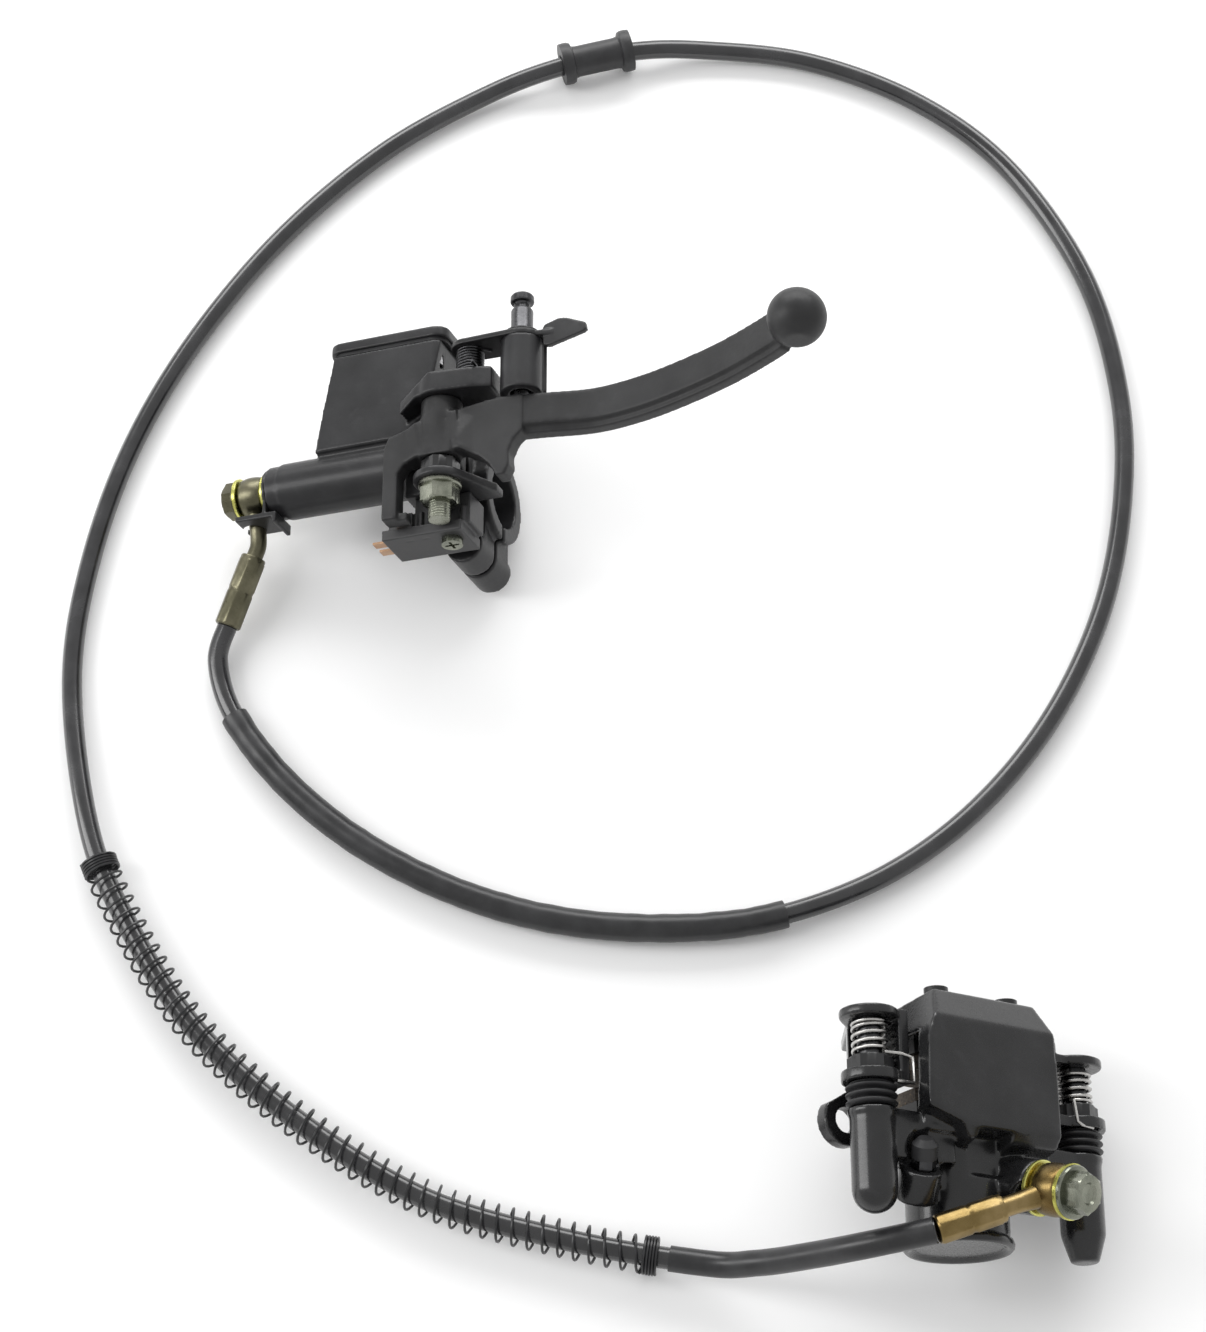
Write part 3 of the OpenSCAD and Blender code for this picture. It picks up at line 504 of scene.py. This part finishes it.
def wrapPoints(start, end, radius, turnsAt, steps=20):
    """turnsAt gives the turns made by each distance"""
    points = []
    span = end - start
    count = max(8, int(abs(turnsAt(span) * steps)))
    side = None
    for i in range(count + 1):
        s = span * i / count
        p = along(start + s)
        t = (along(min(hoseLength, start + s + 1)) - along(max(0, start + s - 1))).normalized()
        if side is None:
            side = t.cross(Vector((0, 0, 1)))
        side = (side - t * side.dot(t)).normalized()
        up = t.cross(side)
        angle = 2 * math.pi * turnsAt(s)
        points.append(p + (side * math.cos(angle) + up * math.sin(angle)) * radius)
    return points


def addGuard():
    start, end = atRoute(29.5), atRoute(34.5)
    turns = (end - start) / guard["pitch"]
    spring = sweep("springGuard", wrapPoints(start, end, guard["radius"], lambda s: s / guard["pitch"]),
                   guard["wire"], 6, "wireBlack")
    standFor(spring, "hose_spring_guard")
    ends = []
    for at, back in ((start, -1), (end, 1)):
        length = 2.1 * guard["wire"] * guard["closedTurns"]
        a, b = sorted((at, at + back * length))
        ends.append(wrapPoints(a, b, guard["radius"] + 0.15, lambda s: s / (2.1 * guard["wire"])))
    verts, faces = [], []
    for points in ends:
        v, f = sweepMesh(points, guard["wire"] * 1.08, 6)
        faces += [tuple(k + len(verts) for k in face) for face in f]
        verts += v
    closed = makeObject("guardEndCoils", [v * mm for v in verts], faces, "wireBlack", 50)
    standFor(closed, "guard_collars")
    return [spring, closed]


def tubeAlong(name, start, end, outer, inner, sides, look, ripple=0.0, step=2.0, seed=0.0):
    points = stretch(start, end, step)
    count = len(points)

    def wave(i, k=0):
        return 1 + ripple * noise.noise(Vector((i * 0.35, k * 1.3, seed)))
    outside, faces = sweepMesh(points, lambda i: outer * wave(i), sides, closed=False)
    inside, more = sweepMesh(points, inner, sides, closed=False)
    shift = len(outside)
    faces = faces + [tuple(reversed([k + shift for k in f])) for f in more]
    last = (count - 1) * sides
    for k in range(sides):
        n = (k + 1) % sides
        faces.append((n, k, shift + k, shift + n))
        faces.append((last + k, last + n, shift + last + n, shift + last + k))
    return makeObject(name, [v * mm for v in outside + inside], faces, look, 50)


def addHoseFittings():
    pieces = addGuard()
    loose = tubeAlong("looseSleeve", atRoute(2.0), atRoute(8.0), 4.9, 4.25, 20, "sleeveVinyl", 0.05)
    standFor(loose, "hose_sleeve")
    pieces.append(loose)
    snug = tubeAlong("endSleeve", atRoute(34.5) + 9, atRoute(39) - 0.5, 4.3, 3.8, 20, "sleeveVinyl", 0.006, 1.5, 4.0)
    standFor(snug, "hose_end_sleeve")
    pieces.append(snug)
    a, b = atRoute(20) , atRoute(21)
    middle = (a + b) / 2
    half = (b - a) / 2
    spool = [(-1.0, 8.0), (-0.9, 8.15), (-0.78, 8.15), (-0.7, 7.7), (-0.66, 6.3), (-0.55, 6.0), (0.55, 6.0),
             (0.66, 6.3), (0.7, 7.7), (0.78, 8.15), (0.9, 8.15), (1.0, 8.0)]
    centre, ahead = along(middle), along(middle + 1) - along(middle - 1)
    profile = [(3.8, -half)] + [(r, f * half) for f, r in spool] + [(3.8, half), (3.8, -half)]
    grommet = lathe("hoseGrommet", profile, onTable, centre, ahead, "rubber", 40)
    standFor(grommet, "hose_grommet")
    pieces.append(grommet)
    return pieces


onHose = addHoseFittings()
[tuple(p * mm) for p in midline]
print("hose pieces", len(onHose))

# Springs as wound wire
pivotC, postA, lockA, pinW = 14, 76.5, 96, 10
pinPlaces = {"left": (-39, 0, pinW), "right": (43, -5, pinW)}
springs = {
    "parking_spring": {"radius": 4.5, "wire": 0.58, "start": 0, "pitches": [1.16] * 8, "turn": 1.2},
    "parking_pin_spring": {"radius": 5.1, "wire": 0.45, "start": 0, "pitches": [1.0] + [2.1] * 5 + [1.0]},
    "piston_return_spring": {"radius": 5.4, "wire": 0.55, "start": 0, "pitches": [1.2] + [2.75] * 8 + [1.2]},
    "pin": {"radius": 5.4, "wire": 0.6, "start": 0, "pitches": [1.5, 2.6, 2.6, 2.5, 1.1]},
}


def addSprings():
    onPost = coil("parkingSpring", onMaster, (postA, 26.2, pivotC), (0, 1, 0), springs["parking_spring"],
                  "darkSteel", (((9.5, 4.5, 0.1), (4.6, 4.4, 0.0)), ((-1.5, 7.5, 9.3),)))
    standFor(onPost, "parking_spring")
    inBarrel = coil("parkingPinSpring", onMaster, (lockA, 17.8, pivotC), (0, 1, 0),
                    springs["parking_pin_spring"], "springSteel")
    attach(inBarrel, "lock_arm")
    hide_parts("parking_pin_spring")
    inBore = coil("pistonReturnSpring", onMaster, (4.8, 0, 0), (1, 0, 0), springs["piston_return_spring"],
                  "springSteel")
    standFor(inBore, "piston_return_spring")
    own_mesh(inBore)
    hooks = {"left": ((7.9, 4.5, -9.9), (7.9, 11.0, -9.8), (7.3, 11.7, -9.2), (6.8, 11.9, -1.0), (5.8, 8.0, 0.0)),
             "right": ((8.0, 0.5, -9.8), (8.2, -4.2, -9.4), (7.8, -5.6, -8.4), (7.0, -6.0, -1.0))}
    for side, hook in hooks.items():
        u, v, w = pinPlaces[side]
        piece = coil(side + "PinSpring", onCaliper, (u, v + 56, w), (0, 1, 0),
                     {**springs["pin"], "turn": 0.4 if side == "left" else -0.9}, "springSteel", (hook, ()))
        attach(piece, "bracket")
        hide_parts(side + "_pin_spring")


addSprings()
print("springs wound")

# Bellows, fittings and fasteners turned on their own axes
bellows = {"length": 7.7, "outer": 8.4, "inner": 6.7, "folds": 3, "bore": 4.2}


def addBellows():
    for side, place in pinPlaces.items():
        u, v, w = place
        steps = bellows["folds"] * 10
        profile = [(bellows["bore"], 0), (7.4, 0)]
        for i in range(1, steps):
            wave = 0.5 - 0.5 * math.cos(2 * math.pi * bellows["folds"] * i / steps)
            profile.append((bellows["inner"] + (bellows["outer"] - bellows["inner"]) * wave ** 0.7,
                            bellows["length"] * i / steps))
        profile += [(7.2, bellows["length"]), (bellows["bore"], bellows["length"]), (bellows["bore"], 0)]
        piece = lathe(side + "Bellows", profile, onCaliper, (u, v + 38.3, w), (0, 1, 0), "rubber", 56, 50)
        standFor(piece, side + "_bellows")
        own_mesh(piece)


addBellows()

fittings = {
    "upperEye": Vector((-138.934, 112, 17.356)), "upperCrimp": (Vector((-139, 89.5, 14)), Vector((-148, 65, 8))),
    "lowerEye": Vector((130.5, -150.9, 50)), "lowerAxis": Vector((0.66, -0.27, 0.7)),
    "lowerCrimp": (Vector((112.8, -157.6, 54)), Vector((91.6, -164.9, 55))),
}


def crimpProfile(length):
    r, flats = 4.9, 9.2
    half = length / 2
    return [(3.75, 0), (4.3, 0), (4.55, 0.5), (4.55, 1.4), (r, 1.9, flats, 8), (r, half - 1.2, flats, 8),
            (4.6, half - 0.6), (4.5, half), (4.6, half + 0.5), (r, half + 1.0, flats, 8),
            (r, length - 1.0, flats, 8), (4.7, length - 0.5), (4.3, length), (3.75, length)]


def eyeMesh(origin, axis, half, radius, bulge, bore):
    rows = [(bore, -half)]
    for i in range(13):
        f = -1 + i / 6
        rows.append((radius - bulge * f * f - (0.6 if abs(f) == 1 else 0), f * half))
    rows += [(bore, half), (bore, -half)]
    verts, faces = latheMesh(rows, 56)
    place = onTable @ axisFrame(origin, axis)
    return [place @ v for v in verts], faces


def addFittings():
    axisUp = onMaster.to_3x3() @ Vector((1, 0, 0))
    upA, upB = fittings["upperCrimp"]
    neck = [fittings["upperEye"] + Vector((0.05, -5.5, -0.6)), Vector((-138.3, 103, 16.2)), Vector((-137.6, 98, 15.3)),
            Vector((-137.5, 94, 14.7)), Vector((-138.3, 91, 14.2)), Vector((-139.4, 88.4, 13.7))]
    neckMesh = sweepMesh(smoothPath(neck, 6), 3.0, 20)
    eye = eyeMesh(fittings["upperEye"] - axisUp.normalized() * 0.05, axisUp, 4.85, 7.6, 1.0, 5.05)
    upper = joined("upperBanjo", [eye, ([v * mm for v in neckMesh[0]], neckMesh[1])], "olivePlate", 45)
    standFor(upper, "upper_banjo")
    lowA, lowB = fittings["lowerCrimp"]
    toCrimp = (lowA - fittings["lowerEye"])
    neck = [fittings["lowerEye"] + toCrimp * f for f in (0.36, 0.6, 0.8, 1.03)]
    neckMesh = sweepMesh(smoothPath(neck, 6), lambda i: 3.3 + 0.7 * max(0, 1 - i / 8), 20)
    eye = eyeMesh(fittings["lowerEye"], fittings["lowerAxis"], 5.5, 8.6, 0.9, 5.05)
    lower = joined("lowerBanjo", [eye, ([v * mm for v in neckMesh[0]], neckMesh[1])], "brassPlate", 45)
    standFor(lower, "lower_banjo")
    for name, node, look, ends in (("upperCrimp", "upper_crimp", "olivePlate", (upA, upB)),
                                   ("lowerCrimp", "lower_crimp", "brassPlate", (lowA, lowB))):
        length = (ends[1] - ends[0]).length
        piece = lathe(name, crimpProfile(length), onTable, ends[0], ends[1] - ends[0], look, 64, 30)
        standFor(piece, node)
    head = [(0, -24.2), (4.6, -24.2), (5.6, -24.0, 12), (6.93, -23.4, 12), (6.93, -19.9, 12), (6.9, -19.8), (7.2, -19.6),
            (7.2, -19.05), (5, -19.0), (5, 2.8), (4.6, 3.0), (0, 3.0)]
    bolt = lathe("upperBanjoBolt", head, onMaster, (0, 0, 0), (1, 0, 0), "olivePlate", 72, 30)
    standFor(bolt, "upper_banjo_bolt")
    head = [(0, -16), (4.6, -16), (5, -15.6), (5, 6.9), (8.6, 6.9), (8.6, 7.9), (8.2, 8.4), (6.93, 8.5, 12),
            (6.93, 12.9, 12), (5.9, 13.5, 12), (3.6, 13.5), (3.0, 12.8), (0, 12.6)]
    bolt = lathe("lowerBanjoBolt", head, onTable, fittings["lowerEye"], fittings["lowerAxis"], "zinc", 72, 30)
    standFor(bolt, "lower_banjo_bolt")
    ring = [(5.1, -0.7), (7.5, -0.7), (7.8, -0.45), (7.8, 0.45), (7.5, 0.7), (5.1, 0.7), (5.1, -0.7)]
    parts = []
    for at in (-18.3, -7.2):
        verts, faces = latheMesh(ring, 56)
        place = onMaster @ axisFrame((at, 0, 0), (1, 0, 0))
        parts.append(([place @ v for v in verts], faces))
    standFor(joined("upperWashers", parts, "yellowZinc", 30), "upper_washers")
    parts = []
    axis = fittings["lowerAxis"].normalized()
    for at in (-6.2, 6.2):
        verts, faces = latheMesh([(r * 1.15, z) for r, z in ring], 56)
        place = onTable @ axisFrame(fittings["lowerEye"] + axis * at, axis)
        parts.append(([place @ v for v in verts], faces))
    standFor(joined("lowerWashers", parts, "yellowZinc", 30), "lower_washers")


addFittings()


def addFasteners():
    nut = [(3.8, -23), (5.2, -23), (6.0, -22.8, 12), (6.93, -22.3, 12), (6.93, -16.9, 12), (7.0, -16.8), (7.6, -16.4),
           (7.6, -15.5), (7.3, -15.3), (3.8, -15.3), (3.8, -23)]
    piece = lathe("pivotNut", nut, onMaster, (66, 0, pivotC), (0, 1, 0), "zinc", 72, 30)
    standFor(piece, "pivot_nut")
    nut = [(4.1, -12.3), (5.8, -12.3), (6.93, -11.8, 12), (6.93, -6.9, 12), (5.8, -6.35, 12), (4.1, -6.35), (4.1, -12.3)]
    piece = lathe("pivotLockNut", nut, onMaster, (66, 0, pivotC), (0, 1, 0), "blackPlate", 72, 30)
    standFor(piece, "pivot_lock_nut")
    thread = coil("pivotThread", onMaster, (66, -29.0, pivotC), (0, 1, 0),
                  {"radius": 3.66, "wire": 0.3, "start": 0, "pitches": [1.0] * 6}, "zinc")
    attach(thread, "frame")
    pin = [(0, 14.9), (2.8, 15), (3, 17), (4, 17.2), (4, 47.8), (3.7, 48.4), (2.7, 48.9), (2.5, 49.4), (2.5, 50.6),
           (2.9, 51.1), (4.0, 51.4), (4.25, 51.8), (4.25, 53.6), (3.8, 54.3), (0, 54.4)]
    piece = lathe("parkingPin", pin, onMaster, (lockA, 0, pivotC), (0, 1, 0), "darkSteel", 56, 30)
    standFor(piece, "parking_pin")
    parts = []
    for place in pinPlaces.values():
        rows = [(4.1, 50), (6.2, 50), (7.5, 50.5, 13), (7.5, 54.4, 13), (6.3, 54.95, 13), (4.1, 54.95), (4.1, 50)]
        verts, faces = latheMesh(rows, 72)
        at = onCaliper @ axisFrame(place, (0, 1, 0))
        parts.append(([at @ v for v in verts], faces))
    standFor(joined("pinNuts", parts, "blackPlate", 30), "pin_nuts")


addFasteners()
print("fittings and fasteners made")

# The lever and the bracket: copies of the frame's shape, eased where the casting is softer
def reshaped(node, matrix, change, cuts=(), extra=None):
    shape = bmesh.new()
    shape.from_mesh(nodes[node].data)
    shape.transform(matrix.inverted() @ nodes[node].matrix_world)
    for spot, facing in cuts:
        bmesh.ops.bisect_plane(shape, geom=shape.verts[:] + shape.edges[:] + shape.faces[:], dist=0.001,
                               plane_co=spot, plane_no=facing)
    shape.verts.index_update()
    verts = [matrix @ change(v.co) for v in shape.verts]
    faces = [tuple(v.index for v in f.verts) for f in shape.faces]
    shape.free()
    if extra:
        more, moreFaces = extra
        faces += [tuple(k + len(verts) for k in f) for f in moreFaces]
        verts += [matrix @ change(v) for v in more]
    return verts, faces


def eased(thing, voxel, passes):
    remesh = thing.modifiers.new("cast", "REMESH")
    remesh.mode = "VOXEL"
    remesh.voxel_size = voxel * mm
    remesh.use_smooth_shade = True
    soften = thing.modifiers.new("soften", "SMOOTH")
    soften.factor = 0.5
    soften.iterations = passes
    thin = thing.modifiers.new("thin", "DECIMATE")
    thin.ratio = 0.4


def leverShape(point):
    a, b, c = point
    if 57 < a < 79 and c > 18 and -8 < b < 9.8 and math.hypot(a - 66, c - pivotC) > 5.7:
        c = 20.1
    return Vector((a, b, c))


def bracketShape(point):
    u, v, w = point
    if w < 1 and v > 46.5 and u < 0:
        u = max(u, -40.5 - 0.577 * w)
    return Vector((u, v, w))


def addCastings():
    ring = [(5.3, -6.2), (7.4, -6.2), (7.4, 0.5), (5.3, 0.5), (5.3, -6.2)]
    verts, faces = latheMesh(ring, 48)
    place = axisFrame((66, 0, pivotC), (0, 1, 0))
    verts, faces = reshaped("brake_lever", onMaster, leverShape, [((54, 0, 0), (1, 0, 0)), ((80, 0, 0), (1, 0, 0)), ((0, 9.9, 0), (0, 1, 0))],
                            ([place @ v for v in verts], faces))
    lever = makeObject("brakeLever", verts, faces, "leverPaint", 50)
    eased(lever, 0.5, 12)
    standFor(lever, "brake_lever")
    verts, faces = reshaped("caliper_bracket", onCaliper, bracketShape, [((0, 47, 0), (0, 1, 0))])
    bracket = makeObject("caliperBracket", verts, faces, "glossCast", 50)
    eased(bracket, 0.45, 6)
    standFor(bracket, "caliper_bracket")


def addCylinderEnd():
    rim = [(0, 0.3), (14.0, 0.3), (14.9, -0.3), (15.9, -1.1), (17.0, -1.2), (17.8, -0.5), (18.0, 0.7), (17.6, 1.9),
           (16.6, 2.6), (10, 2.6), (0, 2.6)]
    piece = lathe("cylinderEnd", rim, onCaliper, (0, 0, 0), (0, 1, 0), "glossCast", 80, 60)
    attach(piece, "frame")


addCastings()
addCylinderEnd()
print("castings eased")

# CAD nodes that keep their shape get a finish and, where cast or moulded, rounded edges
nodeLooks = {
    "satinCast": ["master_body", "reservoir_cap", "bar_clamp", "parking_barrel"],
    "glossCast": ["caliper_body"],
    "blackPlate": ["hose_bracket", "parking_arm", "pad_pins", "inner_pad_plate", "outer_pad_plate"],
    "plastic": ["switch_body"],
    "rubber": ["reservoir_diaphragm", "primary_cup", "secondary_cup", "piston_seal", "dust_seal",
               "bleed_cap"],
    "zinc": ["pivot_bolt", "switch_screw"],
    "steel": ["cap_screws", "clamp_bolts", "master_piston", "piston_circlip",
              "caliper_piston"],
    "springSteel": ["pad_spring"],
    "darkSteel": ["slide_pins", "bleed_screw"],
    "lining": ["inner_pad_lining", "outer_pad_lining"],
    "copper": ["pivot_bush", "switch_plunger", "switch_terminals"],
}
rounded = {"master_body": (0.55, 7), "caliper_body": (0.55, 20), "reservoir_cap": (0.45, 6),
           "bar_clamp": (0.5, 8), "parking_barrel": (0.4, 3), "switch_body": (0.4, 2), "parking_arm": (0.35, 3),
           "hose_bracket": (0.35, 3)}
for look, names in nodeLooks.items():
    for name in names:
        dress(nodes[name], look)
        if name in rounded:
            eased(nodes[name], *rounded[name])
print("nodes dressed")


# Studio
def addPlane(name, size, place, colour, rough):
    mesh = bpy.data.meshes.new(name)
    s = size / 2
    mesh.from_pydata([(-s, -s, 0), (s, -s, 0), (s, s, 0), (-s, s, 0)], [], [(0, 1, 2, 3)])
    thing = bpy.data.objects.new(name, mesh)
    thing.location = place
    bpy.context.scene.collection.objects.link(thing)
    f = Finish(name)
    f.set(Base_Color=colour, Roughness=rough)
    mesh.materials.append(f.material)


def addSoftbox(name, place, target, size, power):
    data = bpy.data.lights.new(name, "AREA")
    data.shape = "RECTANGLE"
    data.size, data.size_y = size
    data.energy = power
    light = bpy.data.objects.new(name, data)
    light.location = place
    light.rotation_euler = (Vector(target) - Vector(place)).to_track_quat("-Z", "Y").to_euler()
    bpy.context.scene.collection.objects.link(light)


addPlane("floor", 12, (0, 0, -0.0004), studio["floor"], 0.9)
world = bpy.data.worlds.new("studio")
bpy.context.scene.world = world
world.use_nodes = True
world.node_tree.nodes["Background"].inputs[0].default_value = (1, 1, 1, 1)
world.node_tree.nodes["Background"].inputs[1].default_value = studio["world"]
addSoftbox("softboxBack", (0.0, 1.3, 0.75), (0, 0.1, 0), (1.9, 0.7), studio["softboxPower"] * 1.5)
addSoftbox("softboxLeft", (-1.3, 0.1, 0.8), (0, 0, 0), (0.5, 1.4), studio["softboxPower"] * 0.8)
bpy.context.scene.view_settings.view_transform = "Standard"
print("studio ready")
